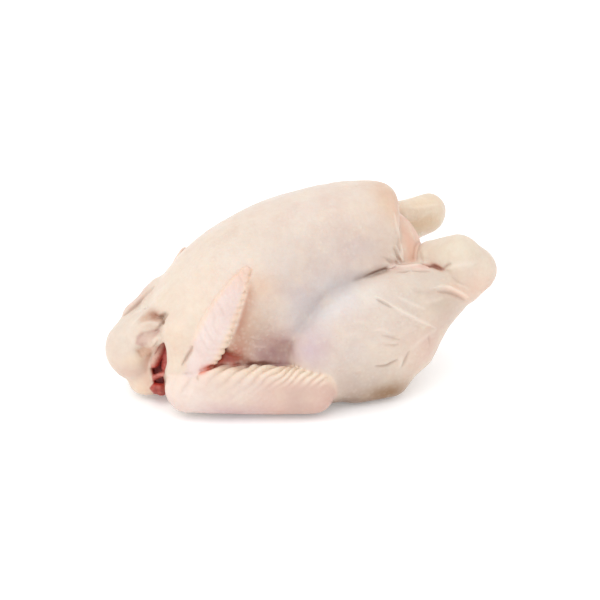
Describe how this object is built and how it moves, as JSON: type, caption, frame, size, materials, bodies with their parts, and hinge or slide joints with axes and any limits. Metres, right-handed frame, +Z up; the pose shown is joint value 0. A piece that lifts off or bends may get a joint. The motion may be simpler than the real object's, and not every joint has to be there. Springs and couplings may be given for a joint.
{
  "type": "whole raw chicken",
  "caption": "Whole raw plucked chicken on its back, breast up, wings folded at the sides, hocks drawn up over the belly, loose neck skin at the front.",
  "frame": {"origin": "on the table under the middle of the bird's bounding box", "axes": "+X from the neck to the tail and hocks, +Y to the bird's left side, +Z up through the breast"},
  "size_m": [0.2576, 0.1546, 0.128],
  "materials": {
    "skin": "moist pale raw poultry skin, cream to peach, mauve where the flesh shows through"
  },
  "bodies": {
    "root": {"chicken": "skin"}
  },
  "joints": []
}
